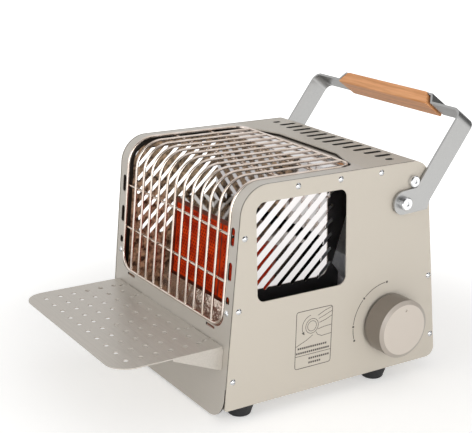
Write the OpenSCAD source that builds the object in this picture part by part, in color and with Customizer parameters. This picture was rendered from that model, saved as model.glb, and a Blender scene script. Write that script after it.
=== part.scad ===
// Portable gas cartridge heater with a wire guard, a fold-down tray and a swing handle.
// Origin on the surface it stands on, midway between the side plates; +X right, +Y back, +Z up.

/* [Side plates] */
// Width over both side plates
body_w = 240; // [232:1:280]
// Sheet thickness of a side plate
plate_t = 1.2; // [0.8:0.1:2]
// Depth of a side plate along its lower edge
plate_depth = 270; // [260:1:300]
// Height of a side plate
plate_h = 223; // [215:1:245]
// Angle by which the front edge leans back
front_lean = 4; // [2:0.5:6]
// Angle by which the rear edge leans forward
rear_lean = 7.5; // [5:0.5:9]
// Corner radius at the top front
top_front_r = 30; // [24:1:36]
// Corner radius at the top rear
top_rear_r = 20; // [14:1:26]
// Corner radius at the bottom rear
bottom_rear_r = 10; // [6:1:14]
// Corner radius at the bottom front
bottom_front_r = 3; // [2:0.5:6]

/* [Side windows] */
// Window width
window_w = 107; // [90:1:115]
// Window height
window_h = 100; // [85:1:108]
// Distance from the foot of the front edge to the middle of the window
window_mid = 86; // [80:1:92]
// Distance from the top edge down to the window
window_drop = 17; // [15:1:24]
// Corner radius of the window
window_r = 9; // [5:1:14]
// Angle by which the upright window edges lean forward
window_lean = 2.7; // [0:0.1:4]

/* [Front and top sheet] */
// Thickness of the bent sheets
sheet_t = 1.4; // [1:0.1:2]
// Height of the apron's lower edge above the surface
apron_clear = 2.2; // [1.5:0.1:6]
// Radius of the apron's lower corners
apron_r = 25; // [12:1:32]
// Width of the opening in front of the burner
opening_w = 208.6; // [200:0.2:212]
// Height of the opening's lower edge above the surface
opening_sill = 93.4; // [90:0.2:100]
// Radius of the opening's lower corners
opening_r = 14; // [10:1:20]
// Radius of the opening's rear corners
opening_rear_r = 18; // [14:1:22]
// Y position of the seam between the front and rear sheets
seam_y = 27.5; // [24:0.5:34]
// Width of the bent side flanges
flange_w = 14; // [12:1:18]
// Width of the groove where the sheets bend beside the side plates
seam_w = 0.8; // [0.4:0.1:1]
// Width of a slot in the side strips
strip_slot_w = 6.4; // [4:0.2:7]
// Length of a strip slot
strip_slot_l = 18.5; // [12:0.5:24]
// Length of the lowest of them
strip_slot_last = 8; // [7:0.5:12]
// Distance between strip slots
strip_slot_pitch = 34.2; // [28:0.2:36]
// Height of the top strip slot's middle above the surface
strip_slot_top = 187.5; // [180:0.5:194]
// Distance of the strip slots from the edge of the sheet
strip_inset = 9.8; // [8:0.2:10.4]

/* [Rear cover] */
// Width of a vent slot in the rear top
vent_w = 6.4; // [4:0.2:7]
// Distance between vent slots
vent_pitch = 15.4; // [12:0.2:18]
// Number of vent slots on each side of the middle
vent_side_count = 6; // [3:1:6]
// Length of the longest vent slot
vent_l = 31; // [26:1:34]
// Shortening from one vent slot to the next
vent_step = 1.8; // [0:0.2:3]
// Depth of the cut-out behind the guard
notch_depth = 13; // [8:1:16]
// Width of the cut-out at its back
notch_w = 104; // [80:2:130]
// Width of the door opening
door_hole_w = 216; // [206:1:220]
// Height of the door opening
door_hole_h = 84; // [80:1:92]
// Height of the door opening's lower edge above the base
door_sill = 21; // [19:1:26]

/* [Wire guard] */
// Wire diameter
wire_d = 2.8; // [2.4:0.1:3.4]
// Distance between the uprights
bar_pitch = 16.65; // [15:0.05:17]
// Number of uprights on each side of the middle one
bar_side_count = 5; // [3:1:5]
// Corner radius of the frame wire
frame_r = 17; // [12:1:22]
// Height of the upper front cross wire above the surface
cross_high = 186.5; // [170:0.5:200]
// Height of the lower front cross wire above the surface
cross_low = 140; // [120:0.5:160]
// Distance of the guard's screws below the lowest strip slot
guard_screw_drop = 12.5; // [10:0.5:16]
// Gap between the frame wire and the sheet
frame_gap = 0.4; // [0.3:0.1:1.2]
// Y positions of the two top cross wires
cross_top_front = -62; // [-75:1:-40]
// Second of the two
cross_top_rear = -18; // [-35:1:0]

/* [Reflectors and shield] */
// Sheet thickness of the reflectors
mirror_t = 0.8; // [0.6:0.1:1.2]
// Distance of a cheek's outer face from the side plate's inner face
cheek_gap = 15; // [14:0.5:16]
// Rise of the bottom reflector's mirror in degrees
mirror_rise = 60; // [45:1:65]
// Gap between the back of the burner and the rear reflector
reflector_gap = 13; // [10:1:16]
// Width of a slot in the cheeks
cheek_slot_w = 4.2; // [3:0.2:5.4]
// Distance between cheek slots, square to them
cheek_slot_pitch = 11.05; // [9.5:0.05:14]
// Height of the first slot line above the field's lower rear corner
cheek_slot_start = 11.9; // [6:0.1:15]
// Rise of the cheek slots in degrees
cheek_slot_rise = 43; // [38:0.5:48]
// Distance of the slotted field from the window's lower edge
cheek_slot_inset = 7; // [5:0.5:12]
// Distance of the slotted field from the cheek's rear edge
cheek_margin = 21; // [16:0.5:26]
// Height of the cut-out in the cheeks' rear edge at its deepest point
cheek_cut_z = 139; // [132:1:146]
// Depth of the cut-out
cheek_cut_deep = 17.5; // [8:0.5:19]
// Rise of the cut-out above its deepest point
cheek_cut_up = 56; // [30:1:60]
// Drop of the cut-out below its deepest point
cheek_cut_down = 21; // [12:1:30]
// Gap between the cheeks and the heat shield
cheek_shield_gap = 3; // [2:0.5:4]
// Reach of the slotted field past the window's other edges
cheek_slot_over = 4; // [0:0.5:5]
// Distance of the heat shield from the cartridge's axis
shield_gap = 41.5; // [40:0.5:44]
// Height of the heat shield
shield_h = 127; // [105:1:140]

/* [Burner] */
// Distance from the front sheet back to the ceramic face
burner_recess = 60; // [54:1:66]
// Width of one ceramic plaque
plaque_w = 95; // [85:1:98]
// Height of a plaque
plaque_h = 84; // [78:1:90]
// Thickness of a plaque
plaque_t = 13; // [10:0.5:15]
// Height of the plaques' middle above the surface
plaque_mid = 122; // [119:0.5:126]
// Thickness of the fibre gasket round the plaques
gasket_t = 2; // [1:0.5:3]
// Sheet thickness of the burner box
box_t = 1; // [0.8:0.1:1.5]
// Depth of the gas chamber behind the plaques
plenum = 24; // [18:1:28]
// Overlap of the front frame on the plaques
frame_lip = 2; // [1:0.5:4]
// Outer diameter of the mixing tube
tube_d = 22; // [18:1:24]

/* [Gas valve and knob] */
// Diameter of the gas cartridge that fits in the bay
cartridge_d = 69; // [66:0.5:70]
// Distance of the cartridge and knob axis from the rear of the plates' lower edge
axis_back = 72.5; // [71:0.5:75]
// Height of the cartridge and knob axis above the surface
axis_z = 69.5; // [67:0.5:72]
// Knob diameter
knob_d = 62; // [50:0.5:64]
// Knob height
knob_h = 25; // [18:0.5:32]
// Gap between the knob and the side plate
knob_gap = 4.5; // [2:0.5:6]
// Width of the knob's bevelled rim
knob_rim_w = 4; // [2:0.5:6]
// Height of the knob's bevelled rim
knob_rim_h = 2.2; // [1:0.1:4]
// Angle of the knob's index mark behind the upright
knob_index = 2; // [0:1:30]
// Diameter of the valve shaft
shaft_d = 8; // [6:0.5:10]
// Running clearance of shafts and hinge pins, on the radius
run_clear = 0.05; // [0.02:0.01:0.1]

/* [Tray] */
// Width of the tray
tray_w = 218; // [200:1:220]
// Depth of the tray from its hinge
tray_depth = 110; // [95:1:112]
// Sheet thickness of the tray
tray_t = 1.2; // [1:0.1:1.6]
// Height of the tray's top face above the surface
tray_z = 78.6; // [76:0.2:82]
// Radius of the tray's front corners
tray_r = 22; // [12:1:30]
// Hole diameter
tray_hole_d = 5.4; // [4:0.2:7]
// Distance between hole columns
tray_col_pitch = 20.1; // [18:0.1:21]
// Distance between hole rows
tray_row_pitch = 15.8; // [13:0.2:16]
// Drop of the side gussets at the hinge
gusset_drop = 25; // [18:1:30]
// Length of the side gussets
gusset_l = 50; // [35:1:60]
// Distance of the hinge axis from the front sheet
tray_hinge_gap = 5.6; // [5.4:0.1:7]
// Diameter of the hinge pins
pin_d = 3; // [2.4:0.1:3.4]

/* [Handle] */
// Distance of the handle pivot from the rear of the plates' lower edge
pivot_back = 62.3; // [59:0.1:67]
// Distance of the handle pivot below the plates' top edge
pivot_down = 40.5; // [36:0.5:45]
// Angle by which the raised handle leans back
handle_lean = 35.9; // [32:0.5:40]
// Width of the handle strap
strap_w = 24.5; // [20:0.5:26]
// Thickness of the handle strap
strap_t = 2.5; // [2:0.1:3]
// Distance from the pivot to the cross strap's inner face
handle_reach = 112; // [106:1:120]
// Offset of the strap's front edge behind the pivot
strap_off = 5; // [3:0.5:7]
// Inner radius of the strap's bends
strap_bend_r = 8; // [5:0.5:12]
// Gap between the strap and the side plate
strap_gap = 2.2; // [1.8:0.1:3]
// Height by which the strap rises over the grip
strap_rise = 9; // [8:0.5:12]
// Length of the wooden grip
grip_l = 150; // [120:1:180]
// Slant of the grip's ends
grip_end = 8.5; // [6:0.5:11]
// Gap between the grip's ends and the strap
grip_gap = 3; // [1:0.5:5]
// Width of the wooden grip
grip_w = 29; // [28:0.5:32]
// Thickness of the wooden grip
grip_t = 13.5; // [11:0.5:16]
// Gap between the strap and the channel in the grip
channel_gap = 0.4; // [0.3:0.1:0.6]
// Chamfer along the grip
grip_chamfer = 1; // [0.5:0.1:1.2]
// Diameter of the pivot bush
bush_d = 12; // [9:0.5:14]
// Diameter of the stop sleeves
stop_d = 12; // [9:0.5:13]

/* [Feet and screws] */
// Height of a foot
foot_h = 14.5; // [12:0.5:18]
// Diameter of a foot at its top
foot_d = 30; // [20:1:30]
// Diameter of a foot's sole
foot_sole_d = 24; // [14:1:26]
// X position of the feet
foot_x = 103; // [96:1:103]
// Distance of the front feet from the plates' front edge
foot_front_in = 28; // [20:1:36]
// Distance of the rear feet from the plates' rear edge
foot_rear_in = 72; // [45:1:80]
// Head diameter of the side screws
screw_head_d = 6.4; // [5:0.2:7.4]
// Head height of the side screws
screw_head_h = 1.8; // [1.4:0.1:2.2]
// Distance of the side screws from the plates' edges
screw_inset = 6.6; // [5:0.2:8]
// Distance of the rear screws from the plates' rear edge
screw_rear_inset = 4.2; // [4:0.2:8]
// Height of the lowest front screw above the plates' lower edge
screw_rise = 29.5; // [26:0.5:32]
// Distance between the front screws
screw_pitch = 71.8; // [60:0.2:75]
// Height of the lower rear screw above the plates' lower edge
screw_rear_rise = 26; // [22:0.5:30]
// Distance between the rear screws
screw_rear_pitch = 69; // [60:0.5:75]
// Y position of the first top screw
screw_top_first = -57; // [-64:1:-50]
// Distance between the top screws
screw_top_pitch = 51; // [44:1:54]
// Thread diameter of the screws
screw_d = 3; // [2.5:0.1:3.2]

/* [Hidden] */
$fn = 48;
paint = "#cfc8bc";
steel = "#c9cbcc";
mirror_steel = "#d8d9da";
brass = "#b8954f";
// Overshoot of cutting tools past the faces they cut
cut = 1;
hair = 0.3;
z_base = foot_h;
axis_y = plate_depth / 2 - axis_back;
pivot_y = plate_depth / 2 - pivot_back;
shield_y = axis_y - shield_gap;
foot_front = foot_front_in - plate_depth / 2;
foot_rear = plate_depth / 2 - foot_rear_in;
z_top = foot_h + plate_h;
pivot_z = z_top - pivot_down;
x_in = body_w / 2 - plate_t;
x_out = body_w / 2;
screw_hole_d = screw_d + 0.4;
wire_r = wire_d / 2;

function unit(v) = v / norm(v);
function front_y(z) = -plate_depth / 2 + (z - z_base) * tan(front_lean);
function rear_y(z) = plate_depth / 2 - (z - z_base) * tan(rear_lean);

// Side outline drawn in by an inset, down to a given height: front foot, front top, rear top, rear foot
function outline(inset, z_low) = [
    [front_y(z_low) + inset / cos(front_lean), z_low],
    [front_y(z_top - inset) + inset / cos(front_lean), z_top - inset],
    [rear_y(z_top - inset) - inset / cos(rear_lean), z_top - inset],
    [rear_y(z_low) - inset / cos(rear_lean), z_low]];
// Half angle, tangent points and centre of a rounded corner at b
function half_angle(a, b, c) = acos(unit(a - b) * unit(c - b)) / 2;
function tangents(a, b, c, r) =
    let (t = r / tan(half_angle(a, b, c))) [b + unit(a - b) * t, b + unit(c - b) * t];
function centre(a, b, c, r) = b + unit(unit(a - b) + unit(c - b)) * r / sin(half_angle(a, b, c));
function ring(p, i) = p[(i + len(p)) % len(p)];

// Polygon whose corners are true arcs
module soft_polygon(p, r) {
    difference() {
        polygon(p);
        for (i = [0:len(p) - 1]) if (r[i] > 0)
            corner_waste(ring(p, i - 1), p[i], ring(p, i + 1), r[i]);
    }
}
// What lies outside the arc at corner b
module corner_waste(a, b, c, r) {
    mid = centre(a, b, c, r);
    ends = tangents(a, b, c, r);
    past = 1 + cut / r;
    difference() {
        polygon([mid, mid + (ends[0] - mid) * past, mid + (b - mid) * past, mid + (ends[1] - mid) * past]);
        translate(mid) circle(r);
    }
}
// Slot with round ends along the first axis
module pill(l, w) {
    square([l - w, w], center = true);
    for (s = [-1, 1]) translate([s * (l - w) / 2, 0]) circle(d = w);
}
module box_2d(a, b) { translate(a) square(b - a); }
// Draws a Y-Z outline from one X to another
module along_x(x0, x1) { translate([x0, 0, 0]) rotate([90, 0, 90]) linear_extrude(x1 - x0) children(); }
// Draws an X-Z outline from one Y to another
module along_y(y0, y1) { translate([0, y1, 0]) rotate([90, 0, 0]) linear_extrude(y1 - y0) children(); }
module rod_x(x0, x1, d) { translate([x0, 0, 0]) rotate([0, 90, 0]) cylinder(h = x1 - x0, d = d); }
module both_sides() { children(); mirror([1, 0, 0]) children(); }

// Side outline between two insets, the section of a bent sheet
module sheet_section(outer, inner, z_low) {
    difference() {
        soft_polygon(outline(outer, z_low), [0, top_front_r - outer, top_rear_r - outer, 0]);
        soft_polygon(outline(inner, z_low - cut), [0, top_front_r - inner, top_rear_r - inner, 0]);
    }
}

// Side plates with their windows, screw holes and shaft hole
side_screws_front = [for (i = [0:2], z = z_base + screw_rise + i * screw_pitch)
    [front_y(z) + screw_inset, z]];
side_screws_top = [for (i = [0:2]) [screw_top_first + i * screw_top_pitch, z_top - screw_inset]];
side_screws_rear = [for (i = [0:1], z = z_base + screw_rear_rise + i * screw_rear_pitch)
    [rear_y(z) - screw_rear_inset, z]];
side_screw_points = concat(side_screws_front, side_screws_top, side_screws_rear);
window_top = z_top - window_drop;
window_shift = tan(window_lean) * window_h / 2;
window_y = -plate_depth / 2 + window_mid;
window_points = [
    [window_y - window_w / 2 + window_shift, window_top - window_h],
    [window_y - window_w / 2 - window_shift, window_top],
    [window_y + window_w / 2 - window_shift, window_top],
    [window_y + window_w / 2 + window_shift, window_top - window_h]];
// Stop sleeve, in the handle's own axes
stop_across = strap_off - stop_d / 2 - hair;
stop_along = 24.5;
function handle_point(across, along) = [pivot_y, pivot_z]
    + across * [cos(handle_lean), -sin(handle_lean)] + along * [sin(handle_lean), cos(handle_lean)];
stop_point = handle_point(stop_across, stop_along);
bolt_d = 6;
module side_plate() {
    along_x(x_in, x_out) difference() {
        soft_polygon(outline(0, z_base), [bottom_front_r, top_front_r, top_rear_r, bottom_rear_r]);
        soft_polygon(window_points, [for (i = [0:3]) window_r]);
        for (p = side_screw_points) translate(p) circle(d = screw_hole_d);
        for (p = [[pivot_y, pivot_z], stop_point]) translate(p) circle(d = bolt_d + 0.4);
        children();
    }
}
shaft_hole_d = shaft_d + 6;
module right_side_plate() {
    color(paint) side_plate() translate([axis_y, axis_z]) circle(d = shaft_hole_d);
}
module left_side_plate() { color(paint) mirror([1, 0, 0]) side_plate(); }

// Front and top sheet, bent in one piece, with the burner opening, strip slots and side flanges
strip_x = x_in - strip_inset;
strip_last_z = strip_slot_top - 2 * strip_slot_pitch + (strip_slot_l - strip_slot_last) / 2;
guard_screw_z = strip_last_z - guard_screw_drop;
module at_guard_screw() {
    both_sides() translate([strip_x, front_y(guard_screw_z), guard_screw_z])
        rotate([-front_lean, 0, 0]) rotate([0, 0, -90]) children();
}
opening_side = opening_w / 2;
notch_front = opening_w - 2 * opening_rear_r;
sill_slot_l = 16;
sill_slot_w = 3;
flange_foot = 22;
module opening_front() {
    translate([0, (opening_sill + z_top + cut) / 2]) square([opening_w - 2 * opening_r,
        z_top + cut - opening_sill], center = true);
    translate([-opening_side, opening_sill + opening_r])
        square([opening_w, z_top + cut - opening_sill - opening_r]);
    for (s = [-1, 1]) translate([s * (opening_side - opening_r), opening_sill + opening_r]) circle(opening_r);
}
module opening_top() {
    box_2d([-opening_side, -plate_depth / 2 - cut], [opening_side, seam_y - opening_rear_r]);
    box_2d([-notch_front / 2, -cut], [notch_front / 2, seam_y + cut]);
    for (s = [-1, 1]) translate([s * notch_front / 2, seam_y - opening_rear_r]) circle(opening_rear_r);
}
module front_top_sheet() {
    front_reach = front_bend_y() + cut;
    color(paint) difference() {
        union() {
            along_x(seam_w - x_in, x_in - seam_w) intersection() {
                sheet_section(0, sheet_t, apron_clear);
                box_2d([-plate_depth, apron_clear], [seam_y, z_top + cut]);
            }
            both_sides() along_x(x_in - sheet_t, x_in) intersection() {
                sheet_section(seam_w, flange_w, apron_clear);
                box_2d([-plate_depth, z_base + flange_foot], [seam_y, z_top + cut]);
            }
        }
        along_y(-plate_depth, front_reach) opening_front();
        translate([0, 0, z_top - top_front_r]) linear_extrude(top_front_r + cut) opening_top();
        both_sides() {
            along_y(-plate_depth, front_reach) {
                for (i = [0:1]) translate([strip_x, strip_slot_top - i * strip_slot_pitch])
                    rotate(90) pill(strip_slot_l, strip_slot_w);
                translate([strip_x, strip_last_z]) rotate(90) pill(strip_slot_last, strip_slot_w);
                translate([opening_side - opening_r - sill_slot_l / 2, opening_sill - sill_slot_w])
                    pill(sill_slot_l, sill_slot_w);
            }
            apron_corner();
            along_x(x_in - 2 * sheet_t, x_out) for (p = side_screw_points)
                translate(p) circle(d = screw_hole_d);
        }
        at_guard_screw() rod_x(-2 * sheet_t, sheet_t, screw_hole_d);
    }
}
// Y of the bend's inner start, far enough back to cut the whole front
function front_bend_y() = front_y(z_top - top_front_r) + top_front_r;
// What is cut from the apron beside and below its rounded lower corner
module apron_corner() {
    side = x_in - 2 * seam_w;
    along_y(-plate_depth, front_bend_y()) {
        difference() {
            box_2d([side - apron_r, apron_clear - cut], [x_in + cut, apron_clear + apron_r]);
            translate([side - apron_r, apron_clear + apron_r]) circle(apron_r);
        }
        box_2d([side, apron_clear + apron_r - cut], [x_in + cut, z_base + flange_foot]);
    }
}

// Rear cover with vents, the cut-out behind the guard and the door opening
rear_cover_foot = z_base + bottom_rear_r + 2;
door_low = z_base + door_sill;
door_high = door_low + door_hole_h;
vent_rear = rear_bend_y() - 1;
function rear_bend_y() = rear_y(z_top - top_rear_r) - top_rear_r / cos(rear_lean);
module notch() {
    polygon([[-notch_front / 2, seam_y - cut], [notch_front / 2, seam_y - cut], [notch_front / 2, seam_y],
        [notch_w / 2, seam_y + notch_depth], [-notch_w / 2, seam_y + notch_depth],
        [-notch_front / 2, seam_y]]);
}
module vents() {
    both_sides() {
        for (i = [0:vent_side_count - 1]) {
            l = vent_l - i * vent_step;
            translate([(i + 0.5) * vent_pitch, vent_rear - l / 2]) rotate(90) pill(l, vent_w);
        }
        translate([(vent_side_count + 0.5) * vent_pitch, vent_rear - vent_l / 2])
            rotate(90) pill(1.6 * vent_w, vent_w);
    }
}
module rear_cover() {
    color(paint) difference() {
        union() {
            along_x(seam_w - x_in, x_in - seam_w) intersection() {
                sheet_section(0, sheet_t, rear_cover_foot);
                box_2d([seam_y, rear_cover_foot], [plate_depth, z_top + cut]);
            }
            both_sides() along_x(x_in - sheet_t, x_in) intersection() {
                sheet_section(seam_w, flange_w, rear_cover_foot);
                box_2d([seam_y, rear_cover_foot], [plate_depth, z_top + cut]);
            }
        }
        translate([0, 0, z_top - sheet_t - cut]) linear_extrude(sheet_t + 2 * cut) {
            vents();
            notch();
        }
        along_y(rear_bend_y(), plate_depth)
            box_2d([-door_hole_w / 2, door_low], [door_hole_w / 2, door_high]);
        both_sides() {
            along_x(x_in - 2 * sheet_t, x_out) {
                for (p = side_screw_points) translate(p) circle(d = screw_hole_d);
                for (p = [[pivot_y, pivot_z], stop_point]) translate(p) circle(d = nut_d + 1);
            }
        }
    }
}

// Base plate with turned-up sides, standing between the side plates
base_flange = 12;
base_front = front_y(z_base) + sheet_t / cos(front_lean) + hair;
base_rear = plate_depth / 2 - bottom_rear_r - 2;
base_top = z_base + plate_t;
feet_points = [[foot_x, foot_front], [foot_x, foot_rear], [-foot_x, foot_front], [-foot_x, foot_rear]];
foot_screw_d = 4;
foot_screw_end = 5;
module base_plate() {
    color(paint) difference() {
        union() {
            translate([-x_in, base_front, z_base]) cube([2 * x_in, base_rear - base_front, plate_t]);
            both_sides() translate([x_in - plate_t, base_front + flange_w + hair, z_base])
                cube([plate_t, base_rear - base_front - flange_w - hair, base_flange]);
        }
        for (p = feet_points) translate([p.x, p.y, z_base - cut])
            cylinder(h = plate_t + 2 * cut, d = foot_screw_d + 0.4);
    }
}

// Polished cheeks with slanting slots and a cut-out in the rear edge, standing on the base
cheek_out = x_in - cheek_gap;
cheek_in = cheek_out - mirror_t;
cheek_front_inset = 7;
cheek_top = z_top - cheek_front_inset;
cheek_rear = shield_y - cheek_shield_gap;
field_low = [window_points[1].x - cheek_slot_over, window_top - window_h + cheek_slot_inset];
field_high = [cheek_rear - cheek_margin, window_top + cheek_slot_over];
slot_slope = tan(cheek_slot_rise);
slot_step = cheek_slot_pitch / cos(cheek_slot_rise);
// Each slot follows the line z = slot_slope * y + c
module cheek_slots() {
    first = field_low.y - slot_slope * field_high.x + cheek_slot_start;
    last = field_high.y - slot_slope * field_low.x - slot_step / 2;
    for (c = [first:slot_step:last]) {
        a = max(field_low.x, (field_low.y - c) / slot_slope);
        b = min(field_high.x, (field_high.y - c) / slot_slope);
        translate([(a + b) / 2, slot_slope * (a + b) / 2 + c]) rotate(cheek_slot_rise)
            pill((b - a) / cos(cheek_slot_rise) + cheek_slot_w, cheek_slot_w);
    }
}
module cheek() {
    along_x(cheek_in, cheek_out) difference() {
        soft_polygon([
            [front_y(base_top) + cheek_front_inset, base_top],
            [front_y(cheek_top) + cheek_front_inset, cheek_top],
            [cheek_rear, cheek_top],
            [cheek_rear, cheek_cut_z + cheek_cut_up],
            [cheek_rear - cheek_cut_deep, cheek_cut_z],
            [cheek_rear, cheek_cut_z - cheek_cut_down],
            [cheek_rear, base_top]], [0, top_front_r - cheek_front_inset, 0, 0, 0, 0, 0]);
        cheek_slots();
        box_2d([foot_front - foot_screw_d, base_top - cut],
            [foot_front + foot_screw_d, base_top + foot_screw_end + 1]);
    }
}
module right_cheek_reflector() { color(mirror_steel) cheek(); }
module left_cheek_reflector() { color(mirror_steel) mirror([1, 0, 0]) cheek(); }

// Bent strip of sheet along a Y-Z line, with mitred bends
function side_dir(p, i) = let (d = unit(p[i + 1] - p[i])) [-d.y, d.x];
function mitre(p, i) = i == 0 ? side_dir(p, 0) : i == len(p) - 1 ? side_dir(p, i - 1) :
    let (a = side_dir(p, i - 1), b = side_dir(p, i)) (a + b) / (1 + a * b);
module bent_strip(p, t) {
    polygon(concat(p, [for (i = [len(p) - 1:-1:0]) p[i] + mitre(p, i) * t]));
}

// Rear reflector: a wall behind the burner with a shelf under the rear cover
burner_face = function (z) front_y(z) + burner_recess / cos(front_lean);
box_depth = plaque_t + plenum + box_t;
box_h = plaque_h + 2 * (gasket_t + box_t);
box_w = 2 * plaque_w + 3 * gasket_t + 2 * box_t;
reflector_low = plaque_mid - 30;
reflector_lean = 7;
reflector_high = z_top - sheet_t - mirror_t - 2 * hair;
function reflector_y(z) = burner_face(plaque_mid) + box_depth + reflector_gap
    + (z - plaque_mid) * tan(reflector_lean);
reflector_foot = [reflector_y(reflector_low), reflector_low];
reflector_head = [reflector_y(reflector_high), reflector_high];
shelf_rear = seam_y + notch_depth + 8;
module rear_reflector() {
    color(mirror_steel) along_x(-cheek_in, cheek_in)
        bent_strip([reflector_foot, reflector_head, [shelf_rear, reflector_head.y]], -mirror_t);
}

// Bottom reflector: a tray behind the sill that rises steeply to the foot of the burner
sill_drop = 44;
probe_x = [58, 34];
probe_sleeve_d = 6;
module bottom_reflector() {
    low = opening_sill - sill_drop;
    high = plaque_mid - box_h / 2 + gasket_t;
    near = front_y(low) + sheet_t / cos(front_lean) + cheek_front_inset;
    far = burner_face(high) - box_t - 1;
    color(mirror_steel) difference() {
        along_x(-cheek_in, cheek_in)
            bent_strip([[near, low + 8], [near, low], [far - (high - low) / tan(mirror_rise), low],
                [far, high]], mirror_t);
        for (x = probe_x) at_burner() translate([x, -box_t - probe_out, -box_h])
            cylinder(h = box_h, d = probe_sleeve_d + 2);
    }
}

// Heat shield between the burner and the cartridge bay
pipe_x = 96;
pipe_z = 56;
pipe_d = 6;
module heat_shield() {
    roof = base_top + shield_h;
    roof_rear = rear_y(roof) - sheet_t / cos(rear_lean) - hair;
    roof_side = x_in - flange_w;
    color(steel) difference() {
        union() {
            translate([-x_in, shield_y, base_top]) cube([2 * x_in, mirror_t, shield_h]);
            translate([-cheek_in, shield_y - 10, base_top]) cube([2 * cheek_in, 10 + mirror_t, mirror_t]);
            translate([-roof_side, shield_y, roof - mirror_t])
                cube([2 * roof_side, roof_rear - shield_y, mirror_t]);
        }
        both_sides() translate([x_in - plate_t - hair, shield_y - cut, base_top - cut])
            cube([plate_t + hair + cut, mirror_t + 2 * cut, base_flange + cut]);
        translate([pipe_x, shield_y - cut, pipe_z]) rotate([-90, 0, 0])
            cylinder(h = mirror_t + 2 * cut, d = pipe_d + 2);
    }
}

// Wire guard, bent over the front and the top
frame_side = opening_side - frame_gap - wire_r;
frame_low = opening_sill + frame_gap + wire_r;
guard_rear = seam_y - 4.8;
bend_r = top_front_r;
collar_proud = 0.2;
bend_at = [front_bend_y_exact(), z_top - top_front_r];
function front_bend_y_exact() = front_y(z_top - top_front_r) + top_front_r / cos(front_lean);
bend_start = bend_at + bend_r * [-cos(front_lean), sin(front_lean)];
module wire_between(a, b) {
    d = b - a;
    translate(a) rotate([0, acos(d.z / norm(d)), atan2(d.y, d.x)]) cylinder(h = norm(d), d = wire_d);
}
// Short collar that joins two lengths of wire at a, along the line to b
module collar(a, b) {
    d = b - a;
    translate(a) rotate([0, acos(d.z / norm(d)), atan2(d.y, d.x)])
        cylinder(h = wire_r, d = wire_d + collar_proud, center = true);
}
// Quarter bend over the top front at one X
module wire_bend(x) {
    translate([x, bend_at.x, bend_at.y]) rotate([90, 0, 90]) rotate(90)
        rotate_extrude(angle = 90 - front_lean) translate([bend_r, 0]) circle(d = wire_d);
}
function on_front(x, z) = [x, front_y(z), z];
module guard_wire(x, low, rear) {
    bend_low = [x, bend_start.x, bend_start.y];
    bend_high = [x, bend_at.x, z_top];
    wire_between(on_front(x, low), bend_low);
    wire_bend(x);
    wire_between(bend_high, [x, rear, z_top]);
    collar(bend_low, on_front(x, low));
    collar(bend_high, [x, rear, z_top]);
}
// Lower or rear run of the frame wire with its two corners
module frame_end(span) {
    wire_between([-span, 0, 0], [span, 0, 0]);
    both_sides() {
        translate([span, frame_r, 0]) rotate(-90)
            rotate_extrude(angle = 90) translate([frame_r, 0]) circle(d = wire_d);
        collar([span, 0, 0], [0, 0, 0]);
        collar([span + frame_r, frame_r, 0], [span + frame_r, 2 * frame_r, 0]);
    }
}
module guard_frame() {
    span = frame_side - frame_r;
    color(steel) {
        both_sides() guard_wire(frame_side, frame_low + frame_r * cos(front_lean), guard_rear - frame_r);
        translate(on_front(0, frame_low)) rotate([90 - front_lean, 0, 0]) frame_end(span);
        translate([0, guard_rear, z_top]) rotate([180, 0, 0]) frame_end(span);
    }
}
module guard_bars() {
    color(steel) for (i = [-bar_side_count:bar_side_count])
        guard_wire(i * bar_pitch, frame_low + wire_r * cos(front_lean), guard_rear - wire_r);
}
// Cross wires lie behind the uprights and reach under the side strips
module guard_cross_wires() {
    reach = opening_side + wire_r;
    inward = wire_d * [0, cos(front_lean), -sin(front_lean)];
    color(steel) {
        for (z = [cross_low, cross_high])
            wire_between(on_front(-reach, z) + inward, on_front(reach, z) + inward);
        for (y = [cross_top_front, cross_top_rear])
            wire_between([-reach, y, z_top - wire_d], [reach, y, z_top - wire_d]);
    }
}

// Burner axes: origin in the middle of the ceramic face, leaning back with the front
module at_burner() {
    translate([0, burner_face(plaque_mid), plaque_mid]) rotate([-front_lean, 0, 0]) children();
}
module ceramic_plaques() {
    color("#c2410f") at_burner() both_sides()
        translate([gasket_t / 2, 0, -plaque_h / 2]) cube([plaque_w, plaque_t, plaque_h]);
}
module plaque_gasket() {
    color("#e6e2d8") at_burner() difference() {
        translate([-box_w / 2 + box_t, 0, -box_h / 2 + box_t])
            cube([box_w - 2 * box_t, plaque_t, box_h - 2 * box_t]);
        both_sides() translate([gasket_t / 2, -cut, -plaque_h / 2])
            cube([plaque_w, plaque_t + 2 * cut, plaque_h]);
    }
}
tube_x = 0;
tube_bore = tube_d - 2 * box_t;
module burner_box() {
    color(steel) at_burner() difference() {
        translate([-box_w / 2, 0, -box_h / 2]) cube([box_w, box_depth, box_h]);
        translate([-box_w / 2 + box_t, -cut, -box_h / 2 + box_t])
            cube([box_w - 2 * box_t, plaque_t + cut, box_h - 2 * box_t]);
        translate([-box_w / 2 + box_t + gasket_t, plaque_t - cut, -box_h / 2 + box_t + gasket_t])
            cube([box_w - 2 * (box_t + gasket_t), plenum + cut, box_h - 2 * (box_t + gasket_t)]);
        translate([tube_x, plaque_t + plenum / 2, -box_h / 2 - cut])
            cylinder(h = box_t + gasket_t + 2 * cut, d = tube_bore);
    }
}
module burner_frame() {
    lip = gasket_t + box_t + frame_lip;
    color(steel) at_burner() difference() {
        translate([-box_w / 2, -box_t, -box_h / 2]) cube([box_w, box_t, box_h]);
        translate([lip - box_w / 2, -box_t - cut, lip - box_h / 2])
            cube([box_w - 2 * lip, box_t + 2 * cut, box_h - 2 * lip]);
    }
}

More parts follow.
